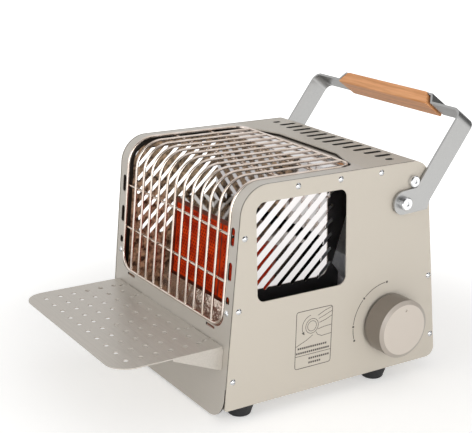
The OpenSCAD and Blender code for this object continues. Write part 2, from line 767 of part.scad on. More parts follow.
// Mixing tube: a flared inlet and throat along X, then up into the burner box
tube_drop = 18;
tube_mouth = pipe_x - 10;
module mixing_tube() {
    color(steel) at_burner() translate([tube_x, plaque_t + plenum / 2, -box_h / 2]) difference() {
        union() {
            translate([0, 0, -tube_drop - tube_d / 2]) cylinder(h = tube_drop + tube_d / 2, d = tube_d);
            translate([-tube_d / 2, 0, -tube_drop]) rod_x(0, tube_mouth - tube_x + tube_d / 2, tube_d);
        }
        translate([0, 0, -tube_drop - tube_d / 2 + box_t])
            cylinder(h = tube_drop + tube_d / 2, d = tube_bore);
        translate([0, 0, -tube_drop]) rod_x(0, tube_mouth - tube_x + cut, tube_bore);
    }
}
// Jet and its holder, aimed along the mixing tube
function burner_spot(across, up) = [burner_face(plaque_mid), plaque_mid]
    + across * [cos(front_lean), -sin(front_lean)] + up * [sin(front_lean), cos(front_lean)];
jet_spot = burner_spot(plaque_t + plenum / 2, -box_h / 2 - tube_drop);
holder = 11;
module gas_jet() {
    color(brass) translate([pipe_x, jet_spot.x, jet_spot.y]) {
        cube(holder, center = true);
        rod_x(-holder / 2 - 5, -holder / 2, 6);
    }
}
module gas_pipe() {
    color(brass) difference() {
        translate([pipe_x, jet_spot.x + holder / 2, pipe_z]) rotate([-90, 0, 0])
            cylinder(h = valve_front - jet_spot.x - holder / 2, d = pipe_d);
        translate([pipe_x, jet_spot.x + holder / 2 - cut, pipe_z]) rotate([-90, 0, 0])
            cylinder(h = valve_front - jet_spot.x - holder / 2 + 2 * cut, d = pipe_d - 2);
    }
}

// Valve body on its bracket, with the magnetic cartridge seat on its inner end
valve_d = 30;
valve_front = axis_y - valve_d / 2 - 3;
valve_out = x_in - 9;
valve_in = valve_out - 30;
seat_t = 7;
seat_d = 54;
bracket_t = 1.5;
module at_axis() { translate([0, axis_y, axis_z]) children(); }
module valve_body() {
    color("#9a9d9f") difference() {
        union() {
            at_axis() rod_x(valve_in, valve_out - bracket_t, valve_d);
            translate([pipe_x - 7, valve_front, pipe_z - 7]) cube([14, valve_d / 2, 14]);
        }
        at_axis() rod_x(valve_in + 8, valve_out + cut, shaft_d + 2 * run_clear);
        translate([pipe_x, valve_front - cut, pipe_z]) rotate([-90, 0, 0]) cylinder(h = 8, d = pipe_d - 2);
    }
}
module valve_bracket() {
    side = 22;
    color(steel) difference() {
        union() {
            translate([valve_out - bracket_t, axis_y - side, base_top])
                cube([bracket_t, 2 * side, axis_z + side - base_top]);
            translate([valve_out - bracket_t - 16, axis_y - side, base_top])
                cube([16 + bracket_t, 2 * side, bracket_t]);
        }
        at_axis() rod_x(valve_out - bracket_t - cut, valve_out + cut, shaft_d + 4);
        translate([foot_x, foot_rear, base_top - cut])
            cylinder(h = bracket_t + 2 * cut, d = 2 * foot_screw_d);
    }
}
module cartridge_seat() {
    color("#3a3b3d") at_axis() difference() {
        rod_x(valve_in - seat_t, valve_in, seat_d);
        rod_x(valve_in - seat_t - cut, valve_in + cut, 24);
    }
}
// Cradle under the cartridge: a flat bed with a low rail on each side
cradle_l = 170;
cradle_rail = 6;
cradle_out = valve_in - seat_t - 10;
module cradle_section() {
    bed = axis_z - cartridge_d / 2 - 1;
    half = 27;
    difference() {
        box_2d([axis_y - half, base_top], [axis_y + half, bed + cradle_rail]);
        box_2d([axis_y - half + 1.2, base_top - cut], [axis_y + half - 1.2, bed - 1.2]);
        box_2d([axis_y - half + 1.2, bed], [axis_y + half - 1.2, bed + cradle_rail + cut]);
    }
}
module cartridge_cradle() { color(steel) along_x(cradle_out - cradle_l, cradle_out) cradle_section(); }

// Spark electrode and thermocouple in front of the ceramic
probe_rise = 14;
probe_out = 6;
probe_t = 1;
module probe(x, d) {
    at_burner() translate([x, -box_t, -box_h / 2 + gasket_t + box_t]) {
        translate([0, -probe_out, 0]) cylinder(h = probe_rise, d = d);
        translate([0, -probe_out, -probe_rise]) cylinder(h = probe_rise, d = probe_sleeve_d);
        translate([-probe_sleeve_d / 2, -probe_out, -probe_rise]) cube([probe_sleeve_d, probe_out, probe_t]);
        translate([-probe_sleeve_d / 2, -probe_t, -probe_rise]) cube([probe_sleeve_d, probe_t, probe_rise]);
    }
}
module igniter_electrode() { color("#f0ece2") probe(probe_x[0], 2.4); }
module thermocouple() { color(brass) probe(probe_x[1], 3); }

// Feet with a rounded sole edge, and the screws that hold them
sole_r = 3;
module foot() {
    rotate_extrude() difference() {
        union() {
            polygon([[0, 0], [foot_sole_d / 2 - sole_r, 0], [foot_sole_d / 2, sole_r],
                [foot_d / 2, foot_h - 2],
                [foot_d / 2, foot_h], [0, foot_h]]);
            translate([foot_sole_d / 2 - sole_r, sole_r]) intersection() {
                circle(sole_r);
                translate([0, -sole_r]) square(sole_r);
            }
        }
        box_2d([-cut, -cut], [foot_screw_d / 2 + 0.2, foot_h + cut]);
        box_2d([-cut, -cut], [foot_screw_d + 0.4, foot_h / 2]);
    }
}
module feet() { color("#26272a") for (p = feet_points) translate([p.x, p.y, 0]) foot(); }
module foot_screws() {
    color(steel) for (p = feet_points) translate([p.x, p.y, 0]) {
        translate([0, 0, foot_h / 2 - 2.4]) cylinder(h = 2.4, d = 2 * foot_screw_d - 0.6);
        cylinder_from(foot_h / 2, base_top + foot_screw_end, foot_screw_d);
    }
}
module cylinder_from(a, b, d) { translate([0, 0, a]) cylinder(h = b - a, d = d); }

// Pan-head screw along X with a cross recess; the head seats at x = 0
module pan_screw(head_d, head_h, d, l) {
    rotate([0, 90, 0]) difference() {
        union() {
            rotate_extrude() intersection() {
                translate([0, head_h - head_d * 0.62]) circle(head_d * 0.62);
                square([head_d / 2, head_h]);
            }
            translate([0, 0, -l]) cylinder(h = l, d = d);
        }
        for (a = [0, 90]) rotate(a) translate([-head_d * 0.28, -head_d * 0.06, head_h * 0.45])
            cube([head_d * 0.56, head_d * 0.12, head_h]);
    }
}
side_screw_l = plate_t + 2 * sheet_t + 2;
module side_screws() {
    color(steel) both_sides() for (p = side_screw_points) translate([x_out, p.x, p.y])
        pan_screw(screw_head_d, screw_head_h, screw_d, side_screw_l);
}

module guard_screws() {
    color(steel) at_guard_screw() pan_screw(screw_head_d, screw_head_h, screw_d, sheet_t + 2);
}

// Handle pivots: a flanged bush on each plate, a domed bolt through it, and a sleeved stop bolt
strap_in = x_out + strap_gap;
strap_out = strap_in + strap_t;
bush_end = strap_out + 0.3;
nut_d = 11;
module at_pivot() { translate([0, pivot_y, pivot_z]) children(); }
// Bolt along X with a flat chamfered head, a socket in it and a nut behind the plate
module cap_bolt(head_x, d, head_d, head_h, tail_x) {
    bevel = 0.8;
    socket_d = head_d / 3;
    rod_x(tail_x, head_x, d);
    translate([head_x, 0, 0]) rotate([0, 90, 0]) rotate_extrude() polygon([[0, 0], [head_d / 2, 0],
        [head_d / 2, head_h - bevel], [head_d / 2 - bevel, head_h], [socket_d / 2, head_h],
        [socket_d / 2, head_h - bevel], [0, head_h - bevel]]);
    rod_x(tail_x + 1, x_in, nut_d);
}
module pivot_bolts() {
    color(steel) both_sides() at_pivot() cap_bolt(bush_end, bolt_d, bush_d + 1.6, 5.6, x_in - 8);
}
module pivot_bushes() {
    color(steel) both_sides() at_pivot() difference() {
        union() {
            rod_x(x_out, bush_end, bush_d);
            rod_x(x_out, strap_in - hair, bush_d + 5);
        }
        rod_x(x_out - cut, bush_end + cut, bolt_d + 0.2);
    }
}
module stop_bolts() {
    color(steel) both_sides() translate([0, stop_point.x, stop_point.y]) {
        cap_bolt(strap_in - hair, bolt_d, stop_d, strap_t + 1.4, x_in - 8);
        rod_x(x_out, strap_in - hair, stop_d - 1);
    }
}

// Handle axes: Y across the strap, Z along the arm, origin on the pivot
module at_handle() { translate([0, pivot_y, pivot_z]) rotate([-handle_lean, 0, 0]) children(); }
toe_r = bush_d / 2 + 6.5;
elbow = 20;
strap_far = strap_off + strap_w;
bend_out = strap_bend_r + strap_t;
module arm_outline() {
    difference() {
        union() {
            circle(toe_r);
            polygon([[-toe_r * 0.72, toe_r * 0.69], [strap_off, elbow + 1],
                [strap_off, handle_reach - strap_bend_r],
                [strap_far, handle_reach - strap_bend_r], [strap_far, elbow], [strap_far + 3, elbow / 2],
                [toe_r * 0.6, -toe_r * 0.8]]);
        }
        circle(d = bush_d + 2 * run_clear);
    }
}
module handle_strap() {
    color(steel) at_handle() {
        both_sides() {
            along_x(strap_in, strap_out) arm_outline();
            translate([strap_in - strap_bend_r, strap_far, handle_reach - strap_bend_r]) rotate([90, 0, 0])
                linear_extrude(strap_w) difference() {
                    circle(bend_out);
                    circle(strap_bend_r);
                    box_2d([-2 * bend_out, -2 * bend_out], [0, 2 * bend_out]);
                    box_2d([-2 * bend_out, -2 * bend_out], [2 * bend_out, 0]);
                }
        }
        difference() {
            along_y(strap_off, strap_far) bent_strip(concat(cross_half(-1), cross_half(1)), strap_t);
            grip_holes(screw_d + 0.4);
        }
    }
}
// Half of the cross strap: level, up beside the grip's slanting end, and level over the grip
cross_top = handle_reach + strap_rise;
rise_run = grip_end * strap_rise / grip_t;
function cross_half(s) = let (p = [[strap_in - strap_bend_r, handle_reach],
    [grip_l / 2 + grip_gap, handle_reach], [grip_l / 2 + grip_gap - rise_run, cross_top]])
    [for (i = s < 0 ? [0:2] : [2:-1:0]) [s * p[i].x, p[i].y]];
grip_top = cross_top + strap_t;
grip_low = grip_top - grip_t;
grip_mid = strap_off + strap_w / 2;
grip_screw_x = grip_l / 2 - 24;
module grip_holes(d) {
    both_sides() translate([grip_screw_x, grip_mid, grip_low + 2]) cylinder(h = grip_t + strap_rise, d = d);
}
// Wooden bar with softened edges and slanting ends, with the raised strap let into its top
module wooden_grip() {
    color("#b98350") at_handle() difference() {
        intersection() {
            along_x(-grip_l / 2, grip_l / 2) translate([grip_mid, grip_low + grip_t / 2]) polygon([
                for (s = [[1, -1], [1, 1], [-1, 1], [-1, -1]], c = s.x * s.y < 0 ? [0, 1] : [1, 0])
                    [s.x * (grip_w / 2 - (c == 0 ? grip_chamfer : 0)),
                        s.y * (grip_t / 2 - (c == 0 ? 0 : grip_chamfer))]]);
            along_y(grip_mid - grip_w, grip_mid + grip_w) soft_polygon([
                [-grip_l / 2, grip_low], [grip_l / 2, grip_low], [grip_l / 2 - grip_end, grip_top],
                [grip_end - grip_l / 2, grip_top]], [1, 1, grip_end / 2, grip_end / 2]);
        }
        along_x(-grip_l, grip_l) box_2d([strap_off - channel_gap, cross_top - hair],
            [strap_far + channel_gap, grip_top + cut]);
        grip_holes(screw_d + 0.4);
    }
}
module grip_screws() {
    color(steel) at_handle() both_sides() translate([grip_screw_x, grip_mid, cross_top + strap_t])
        rotate([0, -90, 0]) pan_screw(screw_head_d, screw_head_h, screw_d, grip_t - 4);
}

// Knob with a chamfered rim, a hollow back and an index mark
knob_in = x_out + knob_gap;
knob_out = knob_in + knob_h;
skirt = 2.5;
module knob() {
    color("#a89c92") at_axis() difference() {
        translate([knob_in, 0, 0]) rotate([0, 90, 0]) rotate_extrude() difference() {
            polygon([[0, 0], [knob_d / 2, 0], [knob_d / 2, knob_h - knob_rim_h],
                [knob_d / 2 - knob_rim_w, knob_h], [0, knob_h]]);
            polygon([[shaft_d / 2 + 4, -cut], [knob_d / 2 - skirt, -cut], [knob_d / 2 - skirt, knob_h - 5],
                [shaft_d / 2 + 4, knob_h - 5]]);
            box_2d([-cut, -cut], [shaft_d / 2, knob_h - 5]);
        }
        rotate([-knob_index, 0, 0]) translate([knob_out - 0.6, 0, knob_d / 2 - knob_rim_w - 6])
            rod_x(0, 2, 3);
    }
}
module valve_shaft() { color(steel) at_axis() rod_x(valve_in + 10, knob_out - 5, shaft_d); }

// Fold-down tray: perforated sheet with gussets, rolled on to its hinge pins
barrel_r = pin_d / 2 + 1.2;
tray_axis = [front_y(tray_z) - tray_hinge_gap, tray_z - barrel_r];
tray_side = tray_w / 2;
knuckle_x = 70;
knuckle_l = 30;
ear_t = 3;
ear_gap = 0.4;
pin_end = knuckle_x + knuckle_l / 2 + ear_gap + ear_t;
tray_front = tray_axis.x - tray_depth;
// The sheet's rear edge must pass the front sheet as the tray folds
tray_back = tray_axis.x + sqrt(pow(tray_hinge_gap * cos(front_lean) - 2 * hair, 2) - pow(barrel_r, 2));
tray_cols = 10;
tray_rows = 6;
tray_row_first = 20;
module tray_plan() {
    difference() {
        soft_polygon([[-tray_side, tray_back], [-tray_side, tray_front], [tray_side, tray_front],
            [tray_side, tray_back]], [0, tray_r, tray_r, 0]);
        for (i = [0:tray_cols - 1], j = [0:tray_rows - 1])
            translate([(i - (tray_cols - 1) / 2) * tray_col_pitch,
                tray_front + tray_row_first + j * tray_row_pitch])
                circle(d = tray_hole_d);
        both_sides() for (s = [-1, 1])
            translate([knuckle_x + s * (knuckle_l / 2 + ear_gap + ear_t / 2), tray_axis.x])
            square([ear_t + 2 * ear_gap, 4 * barrel_r], center = true);
    }
}
module tray_gusset() {
    foot_z = tray_z - gusset_drop;
    along_x(tray_side - tray_t, tray_side) polygon([
        [tray_axis.x - gusset_l, tray_z], [tray_axis.x - gusset_l, tray_z - 3],
        [front_y(foot_z) - hair, foot_z], [front_y(tray_axis.y) - hair, tray_axis.y],
        [tray_axis.x + barrel_r, tray_axis.y + barrel_r - tray_t], [tray_axis.x + barrel_r, tray_z]]);
}
module tray() {
    color(paint) difference() {
        union() {
            translate([0, 0, tray_z - tray_t]) linear_extrude(tray_t) tray_plan();
            both_sides() {
                tray_gusset();
                translate([knuckle_x - knuckle_l / 2, tray_axis.x, tray_axis.y])
                    rod_x(0, knuckle_l, 2 * barrel_r);
            }
        }
        both_sides() translate([knuckle_x - knuckle_l / 2 - cut, tray_axis.x, tray_axis.y])
            rod_x(0, knuckle_l + 2 * cut, pin_d + 2 * run_clear);
    }
}
// Ears on the front sheet that hold the pins
module hinge_ear(axis, wall_low, wall_high) {
    difference() {
        union() {
            translate(axis) circle(barrel_r);
            polygon([axis + [0, barrel_r], axis - [0, barrel_r], wall_low, wall_high]);
        }
        translate(axis) circle(d = pin_d);
    }
}
module tray_hinge_ears() {
    low = tray_axis.y - barrel_r;
    high = tray_axis.y + barrel_r;
    color(steel) both_sides() for (s = [-1, 1])
        translate([knuckle_x + s * (knuckle_l / 2 + ear_gap + ear_t / 2) - ear_t / 2, 0, 0]) along_x(0, ear_t)
            hinge_ear(tray_axis, [front_y(low), low], [front_y(high), high]);
}
module tray_hinge_pins() {
    color(steel) both_sides() translate([2 * knuckle_x - pin_end, tray_axis.x, tray_axis.y])
        rod_x(0, 2 * (pin_end - knuckle_x), pin_d);
}

// Rear door, hinged along its foot, leaning in against the rear cover's opening
door_gap = 0.8;
door_axis = [rear_y(door_low - 6) + barrel_r + 0.6, door_low - 6];
door_top = door_high - door_gap;
door_side = door_hole_w / 2 - door_gap;
pull_w = 44;
pull_d = 9;
function on_rear(z, inset) = [rear_y(z) - inset / cos(rear_lean), z];
module rear_door() {
    color(paint) difference() {
        union() {
            along_x(-door_side, door_side) polygon([on_rear(door_low + door_gap, 0), on_rear(door_top, 0),
                on_rear(door_top, sheet_t), on_rear(door_low + door_gap, sheet_t)]);
            both_sides() translate([knuckle_x - knuckle_l / 2, 0, 0]) along_x(0, knuckle_l) {
                translate(door_axis) circle(barrel_r);
                polygon([door_axis - [0, barrel_r], door_axis + [barrel_r, 0],
                    on_rear(door_low + 6, -sheet_t),
                    on_rear(door_low + 6, 0), on_rear(door_low + door_gap, 0)]);
            }
        }
        both_sides() translate([knuckle_x - knuckle_l / 2 - cut, door_axis.x, door_axis.y])
            rod_x(0, knuckle_l + 2 * cut, pin_d + 2 * run_clear);
        along_y(rear_bend_y(), plate_depth) translate([0, door_top]) pill(pull_w, 2 * pull_d);
    }
}
module door_hinge_ears() {
    low = door_axis.y - barrel_r;
    high = door_axis.y + barrel_r;
    color(steel) both_sides() for (s = [-1, 1])
        translate([knuckle_x + s * (knuckle_l / 2 + ear_gap + ear_t / 2) - ear_t / 2, 0, 0]) along_x(0, ear_t)
            hinge_ear(door_axis, [rear_y(low), low], [rear_y(high), high]);
}
module door_hinge_pins() {
    color(steel) both_sides() translate([2 * knuckle_x - pin_end, door_axis.x, door_axis.y])
        rod_x(0, 2 * (pin_end - knuckle_x), pin_d);
}
// Magnet catch on the rear cover, behind the door's top edge
magnet_w = 24;
module door_magnet() {
    color("#3a3b3d") both_sides() translate([knuckle_x - magnet_w / 2, 0, 0]) along_x(0, magnet_w)
        polygon([on_rear(door_high - 8, sheet_t + hair), on_rear(door_high - 1, sheet_t + hair),
            on_rear(door_high, sheet_t), on_rear(door_high + 8, sheet_t),
            on_rear(door_high + 8, sheet_t + 5), on_rear(door_high - 8, sheet_t + 5)]);
}

right_side_plate();
left_side_plate();
front_top_sheet();
rear_cover();
base_plate();
right_cheek_reflector();
left_cheek_reflector();
rear_reflector();
bottom_reflector();
heat_shield();
guard_frame();
guard_bars();
guard_cross_wires();
guard_screws();
burner_box();
burner_frame();
plaque_gasket();
ceramic_plaques();
mixing_tube();
gas_jet();
gas_pipe();
valve_body();
valve_bracket();
cartridge_seat();
cartridge_cradle();
igniter_electrode();
thermocouple();
feet();
foot_screws();
side_screws();
pivot_bolts();
pivot_bushes();
stop_bolts();
tray_hinge_ears();
tray_hinge_pins();
tray();
handle_strap();
wooden_grip();
grip_screws();
knob();
valve_shaft();
door_hinge_ears();
door_hinge_pins();
rear_door();
door_magnet();
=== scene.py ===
"""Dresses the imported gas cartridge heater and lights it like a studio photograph."""
import logging
import math
from dataclasses import dataclass, replace
from enum import Enum
from typing import Any, Iterable, Sequence

import bmesh
import bpy
from mathutils import Matrix, Vector


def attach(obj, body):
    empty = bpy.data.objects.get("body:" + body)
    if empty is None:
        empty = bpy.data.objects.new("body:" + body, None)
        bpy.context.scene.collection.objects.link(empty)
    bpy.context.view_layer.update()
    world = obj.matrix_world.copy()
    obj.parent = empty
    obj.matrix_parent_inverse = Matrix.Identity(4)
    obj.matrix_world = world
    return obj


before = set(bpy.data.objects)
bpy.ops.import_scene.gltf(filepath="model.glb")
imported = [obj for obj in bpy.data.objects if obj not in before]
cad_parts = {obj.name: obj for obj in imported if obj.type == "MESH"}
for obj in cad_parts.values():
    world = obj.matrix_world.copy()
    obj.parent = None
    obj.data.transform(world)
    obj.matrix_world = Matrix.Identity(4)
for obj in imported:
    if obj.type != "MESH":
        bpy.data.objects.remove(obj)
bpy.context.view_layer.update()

LOG = logging.getLogger("heater")
MM = 0.001
Point = tuple[float, float]
Place = tuple[float, float, float]


class Pattern(Enum):
    """What breaks up a finish's surface."""

    CLOUD = "cloud"
    ORANGE_PEEL = "orange_peel"
    BRUSHED = "brushed"
    GRAIN = "grain"
    GLOW = "glow"


class Measure(Enum):
    """Which faces keep the first of two colours."""

    TO_RIGHT = "to_right"
    TO_LEFT = "to_left"
    NOT_SIDEWAYS = "not_sideways"


# The Mix node's colour sockets share their names with its number sockets, so they go by index.
MIX_FIRST = 6
MIX_SECOND = 7
MIX_RESULT = 2
# How many times finer noise is laid over each pattern's own.
NOISE_DETAIL = 4.0
# The range that the noise mostly keeps to, and where in it a dark colour ends and a light one begins.
NOISE_SWING = (0.3, 0.7)
TONE_STOPS = (0.36, 0.64)
HEAT_STOPS = (0.34, 0.66)
# Brush lines and wood grain run along X, so their noise is drawn out that way.
STRETCH = {Pattern.BRUSHED: 0.03, Pattern.GRAIN: 0.06}
# A bump's depth as a share of its pattern's size.
BUMP_DEPTH = 0.2
# Between two places along X, in millimetres, the fire cools to a share of its heat.
HEAT_FADE = (10.0, 90.0)
HEAT_LEFT = 0.55


def linear(hex_colour: str) -> tuple[float, float, float, float]:
    """Turns an sRGB hex colour into the linear colour that a socket takes.

    Args:
        hex_colour: six hex digits, with or without a leading #.

    Returns:
        Linear red, green and blue, and an alpha of 1.
    """
    digits = hex_colour.lstrip("#")
    channels = [int(digits[i:i + 2], 16) / 255 for i in (0, 2, 4)]
    red, green, blue = (c / 12.92 if c <= 0.04045 else ((c + 0.055) / 1.055) ** 2.4 for c in channels)
    return (red, green, blue, 1.0)


def add_node(tree: bpy.types.NodeTree, kind: str, links: dict[str | int, Any] | None = None,
             **settings: Any) -> Any:
    """Adds one node, sets its properties and inputs, and links what it is given.

    Args:
        tree: the node tree that gets the node.
        kind: the node's type name.
        links: input names or indices, each with a value to set or an output socket to link.
        settings: properties of the node itself.

    Returns:
        The new node.
    """
    node = tree.nodes.new(kind)
    for key, value in settings.items():
        setattr(node, key, value)
    for key, value in (links or {}).items():
        if isinstance(value, bpy.types.NodeSocket):
            tree.links.new(value, node.inputs[key])
        else:
            node.inputs[key].default_value = value
    return node


@dataclass(frozen=True)
class PaintedShadeTone:
    """A second colour, painted as shade, for the faces that fail a measure of how they lie along X.

    The limit is a cosine: at -0.5 the second colour goes to what looks within 60 degrees of the wrong way.
    Over the soft stretch above the limit the two colours blend.
    """

    colour: str
    measure: Measure
    limit: float = -0.5
    soft: float = 0.01

    def paint(self, tree: bpy.types.NodeTree, shader: bpy.types.Node, first: str) -> None:
        """Paints shade into the base colour, split by the face's own normal.

        Args:
            tree: the material's node tree.
            shader: its shader node.
            first: the colour of the faces that pass the limit.
        """
        normal = add_node(tree, "ShaderNodeTexCoord").outputs["Normal"]
        along = add_node(tree, "ShaderNodeSeparateXYZ", {"Vector": normal}).outputs["X"]
        if self.measure is Measure.NOT_SIDEWAYS:
            along = add_node(tree, "ShaderNodeMath", {0: along}, operation="ABSOLUTE").outputs[0]
        sign = 1.0 if self.measure is Measure.TO_RIGHT else -1.0
        facing = add_node(tree, "ShaderNodeMath", {0: along, 1: sign}, operation="MULTIPLY")
        away = add_node(tree, "ShaderNodeMapRange", {
            "Value": facing.outputs[0], "From Min": self.limit, "From Max": self.limit + self.soft,
            "To Min": 1.0, "To Max": 0.0})
        tone = add_node(tree, "ShaderNodeMix", {
            0: away.outputs[0], MIX_FIRST: linear(first), MIX_SECOND: linear(self.colour)}, data_type="RGBA")
        tree.links.new(tone.outputs[MIX_RESULT], shader.inputs["Base Color"])


@dataclass(frozen=True)
class Finish:
    """One real material with how its surface was made.

    Sizes are in millimetres and colours are sRGB hex values. The pattern moves the roughness by the spread,
    as a share of it, and where there is a dark colour it moves the colour too.
    """

    name: str
    colour: str
    roughness: float
    metallic: float = 0.0
    ior: float = 1.5
    pattern: Pattern = Pattern.CLOUD
    pattern_mm: float = 8.0
    spread: float = 0.2
    bump: float = 0.0
    dark: str = ""
    glow: str = ""
    glow_strength: float = 0.0
    second: PaintedShadeTone | None = None

    def make(self) -> bpy.types.Material:
        """Builds the Blender material, or finds it if it is there already.

        Returns:
            The material, which all pieces with this finish share.
        """
        found = bpy.data.materials.get(self.name)
        if found:
            return found
        material = bpy.data.materials.new(self.name)
        material.use_nodes = True
        tree = material.node_tree
        shader = tree.nodes["Principled BSDF"]
        values = {"Base Color": linear(self.colour), "Roughness": self.roughness, "Metallic": self.metallic}
        if not self.metallic:
            values["IOR"] = self.ior
        if self.glow:
            values["Emission Color"] = linear(self.glow)
            values["Emission Strength"] = self.glow_strength
        for key, value in values.items():
            shader.inputs[key].default_value = value
        self._pattern(tree, shader)
        if self.second:
            self.second.paint(tree, shader, self.colour)
        return material

    def _pattern(self, tree: bpy.types.NodeTree, shader: bpy.types.Node) -> None:
        """Adds the surface pattern on Object coordinates.

        Args:
            tree: the material's node tree.
            shader: its shader node.
        """
        place = add_node(tree, "ShaderNodeTexCoord").outputs["Object"]
        if self.pattern in STRETCH:
            drawn_out = {"Vector": place, "Scale": (STRETCH[self.pattern], 1.0, 1.0)}
            place = add_node(tree, "ShaderNodeMapping", drawn_out).outputs[0]
        noise = add_node(tree, "ShaderNodeTexNoise", {
            "Vector": place, "Scale": 1 / (self.pattern_mm * MM), "Detail": NOISE_DETAIL}).outputs["Fac"]
        sheen = add_node(tree, "ShaderNodeMapRange", {
            "Value": noise, "From Min": NOISE_SWING[0], "From Max": NOISE_SWING[1],
            "To Min": self.roughness * (1 - self.spread), "To Max": self.roughness * (1 + self.spread)})
        tree.links.new(sheen.outputs[0], shader.inputs["Roughness"])
        if self.dark:
            self._tones(tree, shader, place, noise)
        if self.bump:
            relief = add_node(tree, "ShaderNodeBump", {
                "Height": noise, "Strength": self.bump, "Distance": self.pattern_mm * MM * BUMP_DEPTH})
            tree.links.new(relief.outputs["Normal"], shader.inputs["Normal"])

    def _tones(self, tree: bpy.types.NodeTree, shader: bpy.types.Node, place: bpy.types.NodeSocket,
               noise: bpy.types.NodeSocket) -> None:
        """Moves the colour from dark to light with the noise, and on a hot surface the glow too.

        Args:
            tree: the material's node tree.
            shader: its shader node.
            place: the surface's Object coordinates.
            noise: the pattern's value.
        """
        tones = [("Base Color", noise, TONE_STOPS, self.colour)]
        if self.pattern is Pattern.GLOW:
            across = add_node(tree, "ShaderNodeSeparateXYZ", {"Vector": place}).outputs["X"]
            fade = add_node(tree, "ShaderNodeMapRange", {
                "Value": across, "From Min": HEAT_FADE[0] * MM, "From Max": HEAT_FADE[1] * MM,
                "To Min": 1.0, "To Max": HEAT_LEFT})
            heat = add_node(tree, "ShaderNodeMath", {0: noise, 1: fade.outputs[0]}, operation="MULTIPLY")
            tones.append(("Emission Color", heat.outputs[0], HEAT_STOPS, self.glow))
        for socket, value, stops, light in tones:
            ramp = add_node(tree, "ShaderNodeValToRGB", {"Fac": value})
            for stop, position, colour in zip(ramp.color_ramp.elements, stops, (self.dark, light)):
                stop.position = position
                stop.color = linear(colour)
            tree.links.new(ramp.outputs["Color"], shader.inputs[socket])


# Painted shade: dark on the plates' backs that the mirrors show, and on sideways faces in seams and vents.
PAINTED_SHADE_BACK = "#434344"
PAINTED_SEAM_SHADE = "#3A3733"
# Powder coat: an even satin skin whose fine orange peel softens every highlight.
POWDER_COAT = Finish("greige powder coat", "#CFC7BA", 0.42, pattern=Pattern.ORANGE_PEEL, pattern_mm=1.2,
                     bump=0.04)
# The side plates' backs are painted dark as shade, so the mirrors behind the windows show them dark.
PLATE_RIGHT = replace(POWDER_COAT, name="greige powder coat, right plate",
                      second=PaintedShadeTone(PAINTED_SHADE_BACK, Measure.TO_RIGHT))
PLATE_LEFT = replace(POWDER_COAT, name="greige powder coat, left plate",
                     second=PaintedShadeTone(PAINTED_SHADE_BACK, Measure.TO_LEFT))
# Punched sheet: faces that look sideways along X get painted shade, so vents and seams read as dark lines.
COAT_WITH_SEAM_SHADE = replace(POWDER_COAT, name="greige powder coat, seams with painted shade",
                   second=PaintedShadeTone(PAINTED_SEAM_SHADE, Measure.NOT_SIDEWAYS))
# The tray has a metallic version of this coat; its faint lines are drawn coarse enough to show.
METALLIC_COAT = Finish("greige metallic coat", "#CBC5BC", 0.38, metallic=0.35, pattern=Pattern.BRUSHED,
                       pattern_mm=1.4, dark="#C2BCB3", bump=0.04)
# The front sheet has the same coat in one colour, with painted shade on its sideways faces at seams.
METALLIC_WITH_SEAM_SHADE = replace(METALLIC_COAT, name="greige metallic coat, seams with painted shade", dark="",
                       second=PaintedShadeTone(PAINTED_SEAM_SHADE, Measure.NOT_SIDEWAYS))
# Mirror-polished stainless steel: takes its light and dark from the room.
POLISHED_STEEL = Finish("polished stainless steel", "#CFCCCC", 0.05, metallic=1.0, pattern_mm=16.0,
                        bump=0.03)
# Embossed bright steel: its dimples break the mirror image of guard and room into light and dark cells.
STUCCO_STEEL = Finish("stucco-embossed steel", "#F2E4D6", 0.08, metallic=0.8, pattern=Pattern.ORANGE_PEEL,
                      pattern_mm=9.0, bump=1.0)
# The frame round the plaques has browned in their heat and almost joins them to the eye.
BROWNED_STEEL = Finish("heat-browned steel", "#803E2B", 0.4, metallic=0.6, dark="#6B3022")
# The burner box has greyed in the heat but still mirrors the slots that it stands between.
HEAT_TINTED = Finish("heat-greyed steel", "#B2ADA7", 0.07, metallic=1.0, pattern_mm=18.0, dark="#9C958D")
# Aluminised sheet between the fire and the cartridge: its oxide skin is pale and even and mirrors little.
ALUMINISED = Finish("aluminised steel sheet", "#F6F6F9", 0.35, pattern_mm=5.0, dark="#E6E6EB")
# The far cheek is nearly matt: beige with dark mottled patches, a painted reflection in place of the fire.
CHEEK_PAINTED_REFLECTION = Finish("aluminised sheet with painted reflection", "#E2C3A0", 0.45, metallic=0.3,
                     pattern=Pattern.ORANGE_PEEL, pattern_mm=5.0, dark="#4A3828", bump=0.3)
# Bright nickel plate on drawn wire: narrow highlights along each wire.
NICKEL_WIRE = Finish("nickel-plated wire", "#E2D6CD", 0.16, metallic=1.0, pattern_mm=16.0, dark="#D0C1B4")
# Chrome plate on screws and bolts: small bright points that pick out each one.
CHROME = Finish("chromed fastener", "#DEDFE0", 0.14, metallic=1.0, pattern_mm=4.0, dark="#CFD0D2")
# Zinc-plated sheet: a dull grey shine with faint rolling lines, drawn coarse enough to show.
ZINC_SHEET = Finish("zinc-plated steel", "#A9ABAC", 0.4, metallic=1.0, pattern=Pattern.BRUSHED,
                    pattern_mm=1.5, dark="#9DA0A2", bump=0.05)
# Satin steel strap: its brushing, drawn coarse enough to show, spreads every highlight.
STRAP_STEEL = Finish("satin steel strap", "#AAAAA9", 0.3, metallic=0.9, pattern=Pattern.BRUSHED,
                     pattern_mm=1.0, spread=0.1, dark="#A6A6A5", bump=0.03)
# Glowing cordierite: dull red with hotter patches where the gas burns best.
HOT_CERAMIC = Finish("hot cordierite ceramic", "#641806", 0.9, ior=1.2, pattern=Pattern.GLOW,
                     pattern_mm=14.0, dark="#701505", glow="#C0380A", glow_strength=0.78)
# The flame ports in the ceramic are darker than its face.
PORT_SHADE = Finish("ceramic flame port", "#340B05", 0.95, ior=1.2, dark="#2A0803", glow="#8E1E05",
                    glow_strength=0.45)
